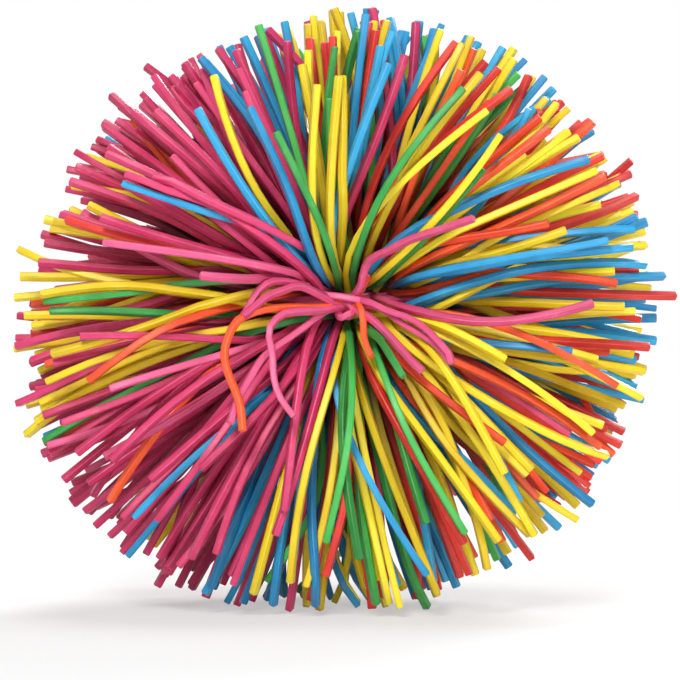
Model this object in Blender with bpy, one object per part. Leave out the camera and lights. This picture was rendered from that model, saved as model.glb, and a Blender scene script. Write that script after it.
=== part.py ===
import math

import bmesh
import bpy
import numpy as np
from mathutils import Vector
from mathutils.noise import noise

# The ball, in metres. The frame's origin is on the floor under the ball's middle,
# +Z runs up along the bundle of strands, and the knot faces -Y.
BALL_WIDTH = 0.0652
BALL_FRONT = 0.0275
BALL_BACK = 0.0315
BALL_TOP = 0.0300
# The ends below reach further than the floor and are cut off there.
BALL_BOTTOM = 0.0320
# The ball isn't quite round: the share of the reach round the knot, by clock angle in degrees.
REACH_BY_CLOCK = (
    (0, 0.98),
    (60, 0.98),
    (95, 0.955),
    (150, 0.96),
    (185, 1.0),
    (232, 1.055),
    (262, 1.04),
    (285, 0.97),
    (315, 0.95),
    (345, 0.955),
    (360, 0.98),
)
CENTRE_HEIGHT = 0.0310
REST_HANK = (1, 0)

# The strands: square-cut rubber, squeezed thinner where they are tied.
STRAND = 0.00108
SQUEEZED_SHARE = 0.78
LAYER = 2 * STRAND * SQUEEZED_SHARE
GAP = 0.0003
HANKS_IN_RING = (6, 11, 16, 17)
# From the core to the outermost row: how far a strand runs before it bends outwards, and
# how much it leans outwards as it leaves the waist.
BEND_LEADS = (0.0060, 0.0032)
BEND_LEANS = (0.26, 0.82)
TIP_LEAD = 0.0120
TIP_UNEVEN = 0.0011
TURN_UNEVEN = math.radians(2.0)
SPIN_UNEVEN = math.radians(40.0)
# The outermost strands dip to the middle plane by turns, above and below, except beside
# the knot, and the others make room.
DIP_ANGLE = math.radians(5.2)
ROOM_ANGLE = math.radians(1.2)
STATIONS = ((0.24, 0.74), (0.56, 0.94), (1.0, 1.0))
CORE_STATIONS = ((0.45, 0.90), (1.0, 1.0))

# Round the knot the strands part and leave an open dimple. They give way less and less
# towards the back.
DIMPLE_ANGLE = math.radians(40.0)
DIMPLE_FADE = 1.6
# The ends round it lie back: how much, and from which share of facing the front.
LAID_BACK = 0.85
LAID_FACING = 0.45
FRONT = Vector((0, -1, 0))
UP = Vector((0, 0, 1))

# The tie: three strands wound round the waist in lanes, with loose tails. The two
# turns of the knot lie in front of the middle lane.
TIE_STRAND = 0.00105
TIE_LANE = TIE_STRAND + GAP
TIE_SEGMENTS = 20
# Tails start this far back from a strand's width in front of its middle line, so that
# they are joined to it.
TAIL_SUNK = 0.00045
TAIL_ROOT = TIE_STRAND - TAIL_SUNK
WAIST_SPARE = 0.00095
WAIST_HEIGHT = 3 * TIE_STRAND + 2 * GAP + WAIST_SPARE
KNOT_TURN_RADIUS = 0.00105
KNOT_FORWARD = 0.0027
KNOT_TURNS_X = (0.0002, 0.0016)

COLOURS = {
    "magenta": (0.60, 0.045, 0.165),
    "yellow": (0.90, 0.66, 0.035),
    "blue": (0.03, 0.27, 0.60),
    "green": (0.04, 0.42, 0.10),
    "red": (0.62, 0.035, 0.02),
    "coral": (0.90, 0.12, 0.05),
    "pink": (0.80, 0.13, 0.34),
}

# Each ring's hanks, from the knot round by the right-hand side. The first is the core.
RING_COLOURS = (
    "green",
    "yellow blue red green magenta blue",
    "green yellow blue red yellow blue green magenta yellow magenta blue",
    "yellow coral yellow red blue yellow green blue magenta red yellow magenta blue magenta"
    " magenta green",
    "green yellow yellow blue yellow red yellow blue green red magenta green coral magenta"
    " yellow magenta magenta",
)

# Tails of the tie, as points to the right, forward of the tie and up from its lane.
UPPER_TAILS = (
    (
        (-0.0010, TAIL_ROOT, 0.0),
        (-0.0032, 0.0032, 0.0004),
        (-0.0062, 0.0059, 0.0009),
        (-0.0092, 0.0076, -0.0001),
        (-0.0106, 0.0084, -0.0025),
    ),
    (
        (0.0014, TAIL_ROOT, 0.0),
        (0.0022, 0.0036, 0.0023),
        (0.0050, 0.0068, 0.0045),
        (0.0090, 0.0091, 0.0061),
        (0.0126, 0.0115, 0.0078),
    ),
)
LOWER_TAILS = (
    (
        (0.0009, 0.0004, 0.0),
        (0.0005, 0.0028, 0.0),
        (-0.0036, 0.0048, -0.0004),
        (-0.0070, 0.0066, -0.0022),
        (-0.0072, 0.0085, -0.0072),
        (-0.0050, 0.0095, -0.0109),
    ),
    (
        (0.0009, 0.0004, 0.0),
        (0.0012, 0.0028, 0.0001),
        (0.0054, 0.0052, -0.0005),
        (0.0090, 0.0078, -0.0028),
        (0.0104, 0.0092, -0.0056),
    ),
    (
        (0.0012, 0.0028, 0.0001),
        (0.0034, 0.0046, -0.0026),
        (0.0058, 0.0069, -0.0049),
        (0.0078, 0.0083, -0.0064),
    ),
)
CORAL_TAILS = (
    (
        (-0.0006, TAIL_ROOT, 0.0),
        (-0.0024, 0.0022, -0.0010),
        (-0.0080, 0.0057, -0.0017),
        (-0.0116, 0.0094, -0.0043),
        (-0.0102, 0.0117, -0.0103),
    ),
    (
        (0.0006, TAIL_ROOT, 0.0),
        (0.0012, 0.0025, -0.0016),
        (0.0022, 0.0050, -0.0036),
    ),
)

CENTRE = Vector((0, 0, CENTRE_HEIGHT))


def ring_radii():
    radii = []
    inside = LAYER / math.sqrt(2)
    for count in HANKS_IN_RING:
        inner = (inside + GAP) / math.cos(math.pi / (2 * count))
        radii.append((inner, inner + LAYER))
        inside = inner + LAYER
    return radii


def strand_rows():
    """Polar angle of each row of strands, spread evenly over the ball."""
    counts = [4]
    for count in HANKS_IN_RING:
        counts += [2 * count, 2 * count]
    total = sum(counts)
    angles = []
    below = 0
    for count in counts:
        angles.append(math.acos(1 - (below + count / 2) / total))
        below += count
    return angles


def ball_reach(aim):
    height = BALL_TOP if aim.z > 0 else BALL_BOTTOM
    depth = BALL_BACK if aim.y > 0 else BALL_FRONT
    squeezed = Vector((2 * aim.x / BALL_WIDTH, aim.y / depth, aim.z / height))
    clocks, shares = zip(*REACH_BY_CLOCK)
    share = np.interp(math.degrees(math.atan2(aim.x, aim.z)) % 360, clocks, shares)
    return (1 + (float(share) - 1) * math.hypot(aim.x, aim.z)) / squeezed.length


def parted(aim):
    """The direction with the dimple at the knot opened up."""
    from_front = aim.angle(FRONT)
    sideways = (aim - aim.dot(FRONT) * FRONT).normalized()
    opened = from_front + DIMPLE_ANGLE * (1 - from_front / math.pi) ** DIMPLE_FADE
    return FRONT * math.cos(opened) + sideways * math.sin(opened)


def laid_back(aim):
    """The direction of a strand at its end: beside the dimple it turns away from the front."""
    facing = min(1, max(0, aim.dot(FRONT) / LAID_FACING))
    share = LAID_BACK * facing * facing * (3 - 2 * facing)
    return (aim - FRONT * aim.dot(FRONT) * share).normalized()


def strand_point(start, polar, turn, side, longer, along):
    around = Vector((math.cos(turn), math.sin(turn), 0))
    aim = parted(around * math.sin(polar) + UP * side * math.cos(polar))
    tip = aim * (ball_reach(aim) + longer)
    share = (2 * polar / math.pi) ** 2
    lead = BEND_LEADS[0] + (BEND_LEADS[1] - BEND_LEADS[0]) * share
    lean = BEND_LEANS[0] + (BEND_LEANS[1] - BEND_LEANS[0]) * share
    bend = start + (UP * side).lerp(aim, lean).normalized() * lead
    near_tip = tip - laid_back(aim) * TIP_LEAD
    back = 1 - along
    return (
        start * back**3
        + bend * (3 * back**2 * along)
        + near_tip * (3 * back * along**2)
        + tip * along**3
    )


def strand_frame(path, along, spin):
    """Middle, sideways and outward directions of a strand's section."""
    step = 0.01
    here = path(along, 0)
    ahead = (path(min(1, along + step), 0) - path(along - step, 0)).normalized()
    sideways = path(along, 0.02) - path(along, -0.02)
    sideways = (sideways - sideways.dot(ahead) * ahead).normalized()
    outward = sideways.cross(ahead)
    return here, sideways * math.cos(spin) + outward * math.sin(spin), outward * math.cos(
        spin
    ) - sideways * math.sin(spin)


def waist_block(bm, inner, outer, first, last):
    """A four-strand block of the squeezed waist, between two radii and two turns."""
    bmesh.ops.create_grid(bm, x_segments=2, y_segments=2, size=1)
    for vert in bm.verts:
        if inner is None:
            vert.co = Vector((vert.co.x, vert.co.y, 0)) * LAYER / 2
        else:
            radius = inner + (outer - inner) * (vert.co.y + 1) / 2
            trim = GAP / 2 / radius
            turn = first + trim + (last - first - 2 * trim) * (vert.co.x + 1) / 2
            vert.co = Vector((radius * math.cos(turn), radius * math.sin(turn), 0))
        vert.co.z = -WAIST_HEIGHT / 2
    raised = bmesh.ops.extrude_face_region(bm, geom=bm.faces[:])
    top = [item for item in raised["geom"] if isinstance(item, bmesh.types.BMVert)]
    bmesh.ops.translate(bm, vec=UP * WAIST_HEIGHT, verts=top)
    bmesh.ops.recalc_face_normals(bm, faces=bm.faces[:])


def strand_plan(face, rows, cell_turn, seed):
    """The path, turn of section and corners of the strand that grows from one end face."""
    middle = face.calc_center_median()
    side = 1 if middle.z > 0 else -1
    turn = math.atan2(middle.y, middle.x)
    outward = Vector((math.cos(turn), math.sin(turn), 0))
    sideways = UP.cross(outward)
    row = min(rows, key=lambda pair: abs(pair[0] - middle.xy.length))
    second_half = math.sin(turn - cell_turn) > 0
    place = Vector((seed + 2.7 * row[1], 5.3 * second_half + seed / 3, 3.7 * side))
    longer = TIP_UNEVEN * noise(place * 3.1)
    polar = row[1] + TURN_UNEVEN * noise(place * 2.3)
    shift = TURN_UNEVEN * noise(place * 1.7 + UP * 9)
    spin = SPIN_UNEVEN * noise(place * 2.9 + UP * 5)
    dips = second_half == (side > 0)
    polar += row[2] * (DIP_ANGLE if dips else -ROOM_ANGLE)
    corners = []
    for vert in face.verts:
        offset = vert.co - middle
        across = math.copysign(1, offset.dot(sideways))
        out = math.copysign(1, offset.dot(outward))
        corners.append([vert.co.copy(), across, out])

    def path(along, aside):
        return strand_point(middle, polar, turn + shift + aside, side, longer, along)

    return {"path": path, "side": side, "spin": spin, "corners": corners, "end": middle}


def grow_strands(bm, rows, stations, cell_turn, seed):
    ends = [face for face in bm.faces if abs(face.normal.z) > 0.9]
    plans = [strand_plan(face, rows, cell_turn, seed) for face in ends]
    for station, width in stations:
        ends = bmesh.ops.extrude_discrete_faces(bm, faces=ends)["faces"]
        for face in ends:
            start = face.calc_center_median()
            plan = min(plans, key=lambda item: (item["end"] - start).length)
            here, sideways, outward = strand_frame(
                plan["path"], station, plan["spin"] * station
            )
            outward = outward * plan["side"]
            for vert in face.verts:
                corner = min(plan["corners"], key=lambda item: (item[0] - vert.co).length)
                across, out = corner[1:]
                vert.co = here + (sideways * across + outward * out) * STRAND * width / 2
                corner[0] = vert.co.copy()
        for plan in plans:
            plan["end"] = sum((item[0] for item in plan["corners"]), Vector()) / 4
    return ends


def stand_on_floor(ends):
    """Ends that would go below the floor stop on it."""
    for face in ends:
        lowest = min(vert.co.z for vert in face.verts)
        if lowest < -CENTRE_HEIGHT:
            lift = -CENTRE_HEIGHT - lowest
            for vert in face.verts:
                vert.co.z += lift


def finished(bm, name, colour):
    bmesh.ops.translate(bm, vec=CENTRE, verts=bm.verts[:])
    mesh = bpy.data.meshes.new(name)
    bm.to_mesh(mesh)
    bm.free()
    obj = bpy.data.objects.new(name, mesh)
    mesh.materials.append(rubber(colour))
    ball.objects.link(obj)
    return obj


def rubber(colour):
    name = f"{colour}_rubber"
    found = bpy.data.materials.get(name)
    if found:
        return found
    made = bpy.data.materials.new(name)
    made.use_nodes = True
    shader = made.node_tree.nodes["Principled BSDF"]
    shader.inputs["Base Color"].default_value = (*COLOURS[colour], 1)
    shader.inputs["Roughness"].default_value = 0.5
    made.diffuse_color = (*COLOURS[colour], 1)
    return made


def rest_strand(ends):
    """One strand comes straight down onto the origin with its cut end flat."""
    lower = [face for face in ends if face.calc_center_median().z < 0]
    foot = min(lower, key=lambda face: face.calc_center_median().xy.length)
    for vert, (x, y) in zip(foot.verts, square_order(foot)):
        vert.co = Vector((x * STRAND / 2, y * STRAND / 2, -CENTRE_HEIGHT))


def square_order(face):
    middle = face.calc_center_median()
    turns = [math.atan2(v.co.y - middle.y, v.co.x - middle.x) for v in face.verts]
    first = turns[0]
    ordered = sorted(range(4), key=lambda i: (turns[i] - first) % (2 * math.pi))
    start = round((first - math.pi / 4) / (math.pi / 2))
    corners = ((1, 1), (-1, 1), (-1, -1), (1, -1))
    placed = [None] * 4
    for step, index in enumerate(ordered):
        placed[index] = corners[(start + step) % 4]
    return placed


def make_hanks():
    angles = strand_rows()
    radii = ring_radii()
    numbers = {}
    for ring, words in enumerate(RING_COLOURS):
        colours = words.split()
        for cell, colour in enumerate(colours):
            numbers[colour] = numbers.get(colour, 0) + 1
            name = f"{colour}_hank_{numbers[colour]:02d}"
            bm = bmesh.new()
            if ring == 0:
                waist_block(bm, None, None, 0, 0)
                rows = [(0, angles[0], 0)]
            else:
                inner, outer = radii[ring - 1]
                width = 2 * math.pi / len(colours)
                first = -math.pi / 2 + (cell - 0.5) * width
                waist_block(bm, inner, outer, first, first + width)
                rows = [
                    (inner + LAYER / 4, angles[2 * ring - 1], 0),
                    (inner + LAYER * 3 / 4, angles[2 * ring], 0),
                ]
                if ring == len(HANKS_IN_RING):
                    beside = abs((first + width / 2 + math.pi / 2) % (2 * math.pi) - math.pi)
                    share = min(1, (math.pi - beside) / 0.8)
                    rows[1] = (*rows[1][:2], share)
            stations = CORE_STATIONS if ring < 2 else STATIONS
            cell_turn = 0 if ring == 0 else first + width / 2
            ends = grow_strands(bm, rows, stations, cell_turn, 31.7 * ring + 7.3 * cell)
            stand_on_floor(ends)
            if (ring, cell) == REST_HANK:
                rest_strand(ends)
            finished(bm, name, colour)


def tie_front():
    """How far the middle of the tie lies in front of the ball's middle."""
    return tie_inside() + TIE_STRAND / 2


def tie_inside():
    waist = ring_radii()[-1][1]
    return (waist + GAP) / math.cos(math.pi / TIE_SEGMENTS)


def tie_ring(lane):
    """One closed turn of a tie strand round the waist."""
    bm = bmesh.new()
    inner = tie_inside()
    low = lane * TIE_LANE - TIE_STRAND / 2
    corners = [
        bm.verts.new((inner, 0, low)),
        bm.verts.new((inner + TIE_STRAND, 0, low)),
        bm.verts.new((inner + TIE_STRAND, 0, low + TIE_STRAND)),
        bm.verts.new((inner, 0, low + TIE_STRAND)),
    ]
    section = bm.faces.new(corners)
    edges = section.edges[:]
    bm.faces.remove(section)
    bmesh.ops.spin(
        bm,
        geom=edges,
        cent=(0, 0, 0),
        axis=(0, 0, 1),
        angle=2 * math.pi,
        steps=TIE_SEGMENTS,
        use_merge=True,
    )
    bmesh.ops.remove_doubles(bm, verts=bm.verts[:], dist=1e-6)
    bmesh.ops.recalc_face_normals(bm, faces=bm.faces[:])
    return bm


def tail(points, lane):
    """A loose end, swept as a square strand along its points."""
    start = FRONT * tie_front() + UP * lane * TIE_LANE
    line = [start + Vector((x, -forward, up)) for x, forward, up in points]
    bm = bmesh.new()
    bmesh.ops.create_grid(bm, x_segments=1, y_segments=1, size=TIE_STRAND / 2)
    end = bm.faces[:]
    ahead = (line[1] - line[0]).normalized()
    turn = UP.rotation_difference(ahead)
    bmesh.ops.rotate(bm, verts=bm.verts[:], cent=(0, 0, 0), matrix=turn.to_matrix())
    bmesh.ops.translate(bm, verts=bm.verts[:], vec=line[0])
    grown = bmesh.ops.extrude_face_region(bm, geom=end)["geom"]
    end = [item for item in grown if isinstance(item, bmesh.types.BMFace)]
    for number in range(1, len(line)):
        if number > 1:
            end = bmesh.ops.extrude_discrete_faces(bm, faces=end)["faces"]
        verts = end[0].verts[:]
        if number + 1 < len(line):
            after = (line[number + 1] - line[number - 1]).normalized()
        else:
            after = (line[number] - line[number - 1]).normalized()
        bend = ahead.rotation_difference(after)
        bmesh.ops.translate(bm, verts=verts, vec=line[number] - line[number - 1])
        bmesh.ops.rotate(bm, verts=verts, cent=line[number], matrix=bend.to_matrix())
        ahead = after
    bmesh.ops.recalc_face_normals(bm, faces=bm.faces[:])
    return bm


def helper(bm, name):
    bmesh.ops.translate(bm, vec=CENTRE, verts=bm.verts[:])
    mesh = bpy.data.meshes.new(name)
    bm.to_mesh(mesh)
    bm.free()
    obj = bpy.data.objects.new(name, mesh)
    obj.hide_render = True
    obj.display_type = "WIRE"
    helpers.objects.link(obj)
    return obj


def knot_turns():
    made = []
    for x in KNOT_TURNS_X:
        bpy.ops.mesh.primitive_torus_add(
            major_segments=9,
            minor_segments=5,
            major_radius=KNOT_TURN_RADIUS,
            minor_radius=TIE_STRAND * 0.56,
            location=CENTRE + FRONT * (tie_front() + KNOT_FORWARD) + Vector((x, 0, 0)),
            rotation=(0, math.pi / 2, 0.12),
        )
        turn = bpy.context.object
        turn.name = f"knot_turn_{x}"
        turn.hide_render = True
        turn.display_type = "WIRE"
        made.append(turn)
    return made


def make_tie(name, colour, lane, tails, turns=()):
    ring = finished(tie_ring(lane), name, colour)
    added = [
        helper(tail(points, lane), f"{name}_tail_{i}") for i, points in enumerate(tails)
    ]
    for piece in [*added, *turns]:
        union = ring.modifiers.new(piece.name, "BOOLEAN")
        union.operation = "UNION"
        union.solver = "EXACT"
        union.object = piece


for old in list(bpy.data.objects):
    bpy.data.objects.remove(old)

ball = bpy.data.collections.new("stringy_stress_ball")
helpers = bpy.data.collections.new("helpers")
bpy.context.scene.collection.children.link(ball)
bpy.context.scene.collection.children.link(helpers)

make_hanks()
make_tie("pink_tie_upper", "pink", 1, UPPER_TAILS)
make_tie("pink_tie_lower", "pink", 0, LOWER_TAILS, knot_turns())
make_tie("coral_tie", "coral", -1, CORAL_TAILS)
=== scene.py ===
import math
import random

import bmesh
import bpy
import numpy as np
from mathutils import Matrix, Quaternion, Vector, kdtree, noise


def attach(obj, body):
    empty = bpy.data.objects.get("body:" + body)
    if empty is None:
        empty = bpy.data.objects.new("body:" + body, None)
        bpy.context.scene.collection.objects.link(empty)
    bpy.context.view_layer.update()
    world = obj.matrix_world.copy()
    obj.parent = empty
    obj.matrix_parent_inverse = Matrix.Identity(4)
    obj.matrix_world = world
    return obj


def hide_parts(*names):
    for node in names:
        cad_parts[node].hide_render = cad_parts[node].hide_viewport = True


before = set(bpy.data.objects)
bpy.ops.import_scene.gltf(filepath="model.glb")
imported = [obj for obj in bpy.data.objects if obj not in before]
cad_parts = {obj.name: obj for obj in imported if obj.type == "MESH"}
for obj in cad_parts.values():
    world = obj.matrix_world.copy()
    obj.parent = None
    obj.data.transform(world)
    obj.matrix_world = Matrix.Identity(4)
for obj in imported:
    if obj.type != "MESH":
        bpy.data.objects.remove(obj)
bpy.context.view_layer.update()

mm = 0.001
up = Vector((0, 0, 1))
front = Vector((0, -1, 0))

# The ball's shape. Reaches are from the middle of the tie to the cut ends.
ball = {
    "centre": Vector((0, 0, 31.0 * mm)),
    "halfWidth": 32.3 * mm,
    "frontDepth": 27.5 * mm,
    "backDepth": 31.2 * mm,
    "top": 29.9 * mm,
    "bottom": 31.8 * mm,
    "dimpleAngle": math.radians(40),
    "dimpleFade": 1.6,  # towards the back
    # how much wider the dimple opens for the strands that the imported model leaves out:
    # clock in degrees from twelve, and the angle
    "widerByClock": ((0, 4), (100, 6), (190, 5), (225, 11), (270, 15), (310, 12), (340, 5), (360, 4)),
    "flatFrom": 12.0 * mm,  # in front of this the strands are pressed flatter, to this share
    "flatShare": 0.74,
    "laidBack": 0.85,  # how far the ends round the dimple bend back into the picture
    "laidFacing": 0.45,  # and how much an end faces the front where it does so in full
    # how the reach varies round the knot: clock in degrees from twelve, and share
    "reachByClock": (
        (0, 0.985), (30, 0.975), (60, 0.975), (80, 0.965), (97, 0.935), (125, 0.95), (150, 0.935),
        (165, 0.955), (185, 1.0), (210, 1.015), (232, 1.055), (256, 1.045), (268, 0.98), (285, 0.97),
        (315, 0.95), (345, 0.955), (360, 0.985),
    ),
}

# The strands, and how they are packed in the waist under the tie.
strand = {
    "width": 0.67 * mm,
    "squeezed": 0.61 * mm,
    "seed": 11,
    "rings": 13,  # in the waist
    "ringStep": 0.668 * mm,
    "pitch": 0.665 * mm,  # along a ring
    "waistHalf": 1.25 * mm,  # half its height
    "points": 37,  # along each end while the strands settle
    "curvePoints": 61,  # of the curve that they are taken from
    "meshEvery": 3,  # of these, every third makes the mesh
    "widens": 4,  # mesh stations from the waist to its full width
    "leads": (6.0 * mm, 3.2 * mm),  # how far it runs before it bends, core and outside
    "leans": (0.26, 0.82),  # and how far it has leant out there
    "tipLead": 12.0 * mm,  # straight to the cut end
    "raggedness": 1.3 * mm,  # how uneven the reach is: a few short ends among many long
    "raggedPower": 0.7,
    "raggedMiddle": 0.75,
    "strayShare": 0.10,
    "strayLength": 2.3 * mm,
    "scatter": math.radians(2.4),
    "dip": math.radians(4.0),  # every other end of the outer ring dips over the tie
    "dipOthers": -0.3,  # and the others rise by this share of it
    "clump": 0.13,
    "clumpSize": 3.5,
    "clumpStep": 0.15,
    "clumpSeed": 3.7,
    "sharedBow": 3.4 * mm,  # sideways arcs, those that neighbours share and each one's own
    "sharedBowSize": 2.6,
    "sharedBowSeed": 9,
    "ownBow": 1.5 * mm,
    "bowSpan": 0.92,  # of half a wave
    "bend": 2.7 * mm,
    "bendSpread": 0.6,
    "bendLate": 1.6,
    "wave": 1.0 * mm,
    "waveSpread": 0.7,
    "sag": 1.1 * mm,
    "twist": math.radians(70),
    "twistSpread": 0.5,
    "capFrom": 14.0 * mm,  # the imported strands' cut ends are further out than this
    "capArea": 0.8 * mm * mm,  # and their triangles smaller than this
    "modelledLoose": 0.4,  # how freely a strand bends that follows a packed one
    "modelledMoves": 0.35,  # and how freely it is pushed aside
    "modelledPairGain": 0.3,  # for taking one whose other end follows one too
    "tipBevel": 0.13 * mm,  # the cut ends' edges are slightly rounded
    "tipWidth": 0.80,
}

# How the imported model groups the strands: rings of hanks, from the knot round by the right.
hanks = {
    "edges": (1.37 * mm, 3.40 * mm, 5.41 * mm, 7.41 * mm, 20 * mm),
    "colours": (
        "green",
        "yellow blue red green magenta blue",
        "green yellow blue red yellow blue green magenta yellow magenta blue",
        "yellow coral yellow red blue yellow green blue magenta red yellow magenta blue"
        " magenta magenta green",
        "green yellow yellow blue yellow red yellow blue green red magenta green coral"
        " magenta yellow magenta magenta",
    ),
    "seed": 5,
    "oddShare": 0.86,  # of the strands that don't follow a packed one
    # share of those that do, in hanks of these colours
    "recoloured": {"green": 0.75, "yellow": 0.2, "blue": 0.25},
    "misfits": 0.9,  # share of those that lie in front where their colour doesn't show
    "frontFrom": -6 * mm,
}

# What colour the odd strands are, by the clock round the knot, in degrees from twelve.
clockColours = (
    (15, "blue green blue red green magenta"),
    (45, "yellow blue blue green red coral"),
    (72, "yellow blue blue red red coral"),
    (100, "blue yellow red red coral coral"),
    (130, "yellow red coral red blue"),
    (160, "yellow green blue red coral"),
    (190, "yellow yellow red blue coral magenta"),
    (240, "magenta magenta magenta magenta magenta magenta coral"),
    (280, "magenta magenta magenta yellow coral red"),
    (325, "magenta magenta magenta magenta magenta blue yellow"),
    (345, "blue blue magenta yellow red"),
    (360, "blue green yellow red red"),
)

# Ends listed round the knot: clock angle in degrees from twelve, reach in mm, and how
# far the end bows to the clockwise side in mm, in the order of the clock.
placedEnds = {
    "yellow": (
        (0, 23.6, -0.2), (24, 28.9, -1.7), (29.5, 27.1, -1.9), (36, 24.0, -2.8), (41, 23.4, 0.8),
        (45, 29.3, -0.2), (51, 28.5, -1.2), (60, 28.4, -1.3), (64, 29.9, -0.2), (77, 30.8, -1.0),
        (100, 30.2, 1.0), (103, 15.6, -1.5), (105, 30.6, -1.6), (115, 26.6, -1.9), (118, 29.7, 2.2),
        (132, 30.8, 2.4), (133, 21.5, -2.4), (139, 29.0, -0.7), (140, 28.9, 1.1), (146, 27.0, 0.8),
        (152, 29.2, -2.3), (162, 29.5, 0.8), (169, 29.9, 0.6), (172, 29.6, 1.6), (191, 27.5, 0.6),
        (198, 29.6, 0.2), (249, 33.8, 2.0), (251, 32.5, 1.7), (253.5, 32.0, 1.4),
        (257.5, 30.3, 0.8), (263, 29.5, 0.8), (274, 30.1, 1.5), (280, 33.2, -1.9),
        (331, 26.6, -1.5), (352, 22.7, -1.9), (358, 23.4, -1.5),
    ),
    "green": (
        (28, 25.0, -2.0), (140, 13.8, -1.1), (151, 24.6, 0.9), (167, 32.2, 0.0), (174, 29.6, 0.3),
        (177, 24.4, 1.0), (184.6, 22.6, -1.3), (247, 32.7, 1.9), (272, 29.9, 1.2), (339, 18.9, 0.8),
        (343, 29.4, 0.5),
    ),
    "blue": (
        (10, 24.4, -2.1), (58.4, 28.4, -2.8), (71, 30.8, 0.5), (72, 29.9, -2.4), (73.5, 27.0, -0.9),
        (76, 29.2, -1.3), (81, 30.2, -1.7), (83.5, 32.1, -1.0), (127, 31.3, 0.8), (163, 27.5, 3.0),
        (185, 29.8, 1.3), (193, 30.5, 0.4), (206, 31.7, -1.1), (222, 32.7, -0.8), (301, 25.5, 3.2),
        (324, 24.5, -0.8), (335, 22.6, -0.3),
    ),
    "red": (
        (23, 28.4, -2.9), (37, 27.2, -3.4), (67.6, 31.4, -0.6), (87, 33.1, -0.5), (96, 30.4, 0.9),
        (143, 31.0, 0.4), (153, 25.9, 1.1), (289, 28.9, 0.7),
    ),
    "coral": (
        (48, 27.3, -0.9), (62, 29.1, -0.9), (104, 27.5, -2.4), (117, 28.4, -0.4), (231, 29.8, 2.4),
        (256, 26.1, 2.1),
    ),
    "pink": ((88, 24.3, 2.2), (246, 32.4, -1.6), (284, 16.2, 0.9), (286, 24.7, 1.3)),
    "magenta": (
        (13, 25.8, -1.4), (190, 31.0, 0.5), (202, 29.5, -0.2), (208, 27.0, 0.6), (212, 28.5, 0.2),
        (217, 31.0, -0.4), (222, 27.5, 0.8), (227, 30.0, 0.2), (233, 31.5, 2.5), (238, 27.0, 1.2),
        (243, 30.0, 0.6), (255, 34.0, 0.6), (264, 33.4, 0.8), (290, 30.0, 1.4), (293, 26.0, 0.9),
        (296, 30.5, 1.2), (300, 31.0, 0.6), (302.5, 25.5, 2.6), (304, 28.5, 1.6), (306, 23.5, 2.0),
        (308, 30.5, 0.4), (312, 31.5, 1.0), (314, 29.0, 1.2), (317, 27.5, 0.5), (321, 30.0, 0.2),
        (336.5, 23.8, -0.2),
    ),
}


# The listed ends lie over the others in front.
laying = {
    "order": ("magenta", "red", "coral", "yellow", "blue", "green", "pink"),
    "leftOf": 12 * mm,  # here blue and green ends lie under the magenta ones
    "depth": 0.9,  # of the ball's, where the cut ends lie before they are lifted
    "leastLeft": 0.02,
    # what speaks against taking a strand for an end: its hank has another colour, it
    # follows a packed one, it starts to the side or behind
    "colourCost": 0.05,
    "modelledCost": 0.1,
    "asideCost": 0.05 / mm,
    "behindCost": 0.4,
    "pairGain": 0.2,  # for a strand whose other end is listed too
    "bendKept": 0.3,
    "waveKept": 0.5,
    "beside": 1.2 * mm,
    "above": 0.80 * mm,
    "most": 5.5 * mm,
    "tipShare": 0.6,  # of that, how far the cut end is lifted at least
    "from": 5,  # points out from the waist
    "rounding": 5,  # points
    "moves": 0.5,
}


# Where the strands lie.

def partWay(low, high, share):
    return low + (high - low) * share


def hankCells():
    cells = []
    numbers = {}
    for ring, words in enumerate(hanks["colours"]):
        for colour in words.split():
            numbers[colour] = numbers.get(colour, 0) + 1
            cells.append({"ring": ring, "colour": colour, "name": f"{colour}_hank_{numbers[colour]:02d}"})
    return cells


def hankOf(radius, turn, cells):
    ring = next(i for i, edge in enumerate(hanks["edges"]) if radius < edge)
    inRing = [cell for cell in cells if cell["ring"] == ring]
    share = (turn + math.pi / 2) / (2 * math.pi) * len(inRing) + 0.5
    return inRing[int(share) % len(inRing)]


def clockOf(aim):
    return math.degrees(math.atan2(aim.x, aim.z)) % 360


def byClock(aim, pairs):
    clocks, values = zip(*pairs)
    return np.interp(clockOf(aim), clocks, values)


def oddColours(aim):
    clock = clockOf(aim)
    return next(words for end, words in clockColours if clock <= end).split()


def ballReach(aim):
    high = ball["top"] if aim.z > 0 else ball["bottom"]
    deep = ball["backDepth"] if aim.y > 0 else ball["frontDepth"]
    plain = 1 / Vector((aim.x / ball["halfWidth"], aim.y / deep, aim.z / high)).length
    return plain * (1 + (byClock(aim, ball["reachByClock"]) - 1) * math.hypot(aim.x, aim.z))


def parted(aim):  # opens the dimple round the knot
    fromFront = aim.angle(front)
    sideways = (aim - aim.dot(front) * front).normalized()
    angle = ball["dimpleAngle"] + math.radians(byClock(aim, ball["widerByClock"]))
    opened = fromFront + angle * (1 - fromFront / math.pi) ** ball["dimpleFade"]
    return front * math.cos(opened) + sideways * math.sin(opened)


def clumped(aim):  # neighbours lean together and leave gaps
    spot = aim * strand["clumpSize"] + Vector((strand["clumpSeed"], 0, 0))
    step = strand["clumpStep"]
    axes = (Vector((1, 0, 0)), Vector((0, 1, 0)), up)
    here = noise.noise(spot)
    slope = Vector([noise.noise(spot + axis * step) - here for axis in axes]) / step
    return (aim + (slope - slope.dot(aim) * aim) * strand["clump"]).normalized()


def bowed(points, bow):  # brings the middle of a path to one side of its straight line
    start, tip = Vector(points[0]), Vector(points[-1])
    middle = Vector(points[len(points) // 2])
    line = Vector((tip.x - start.x, 0, tip.z - start.z)).normalized()
    across = Vector((line.z, 0, -line.x))
    now = (middle - start).dot(across)
    share = np.linspace(0, 1, len(points))
    return points + np.outer(4 * share * (1 - share) * (bow - now), across)


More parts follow.
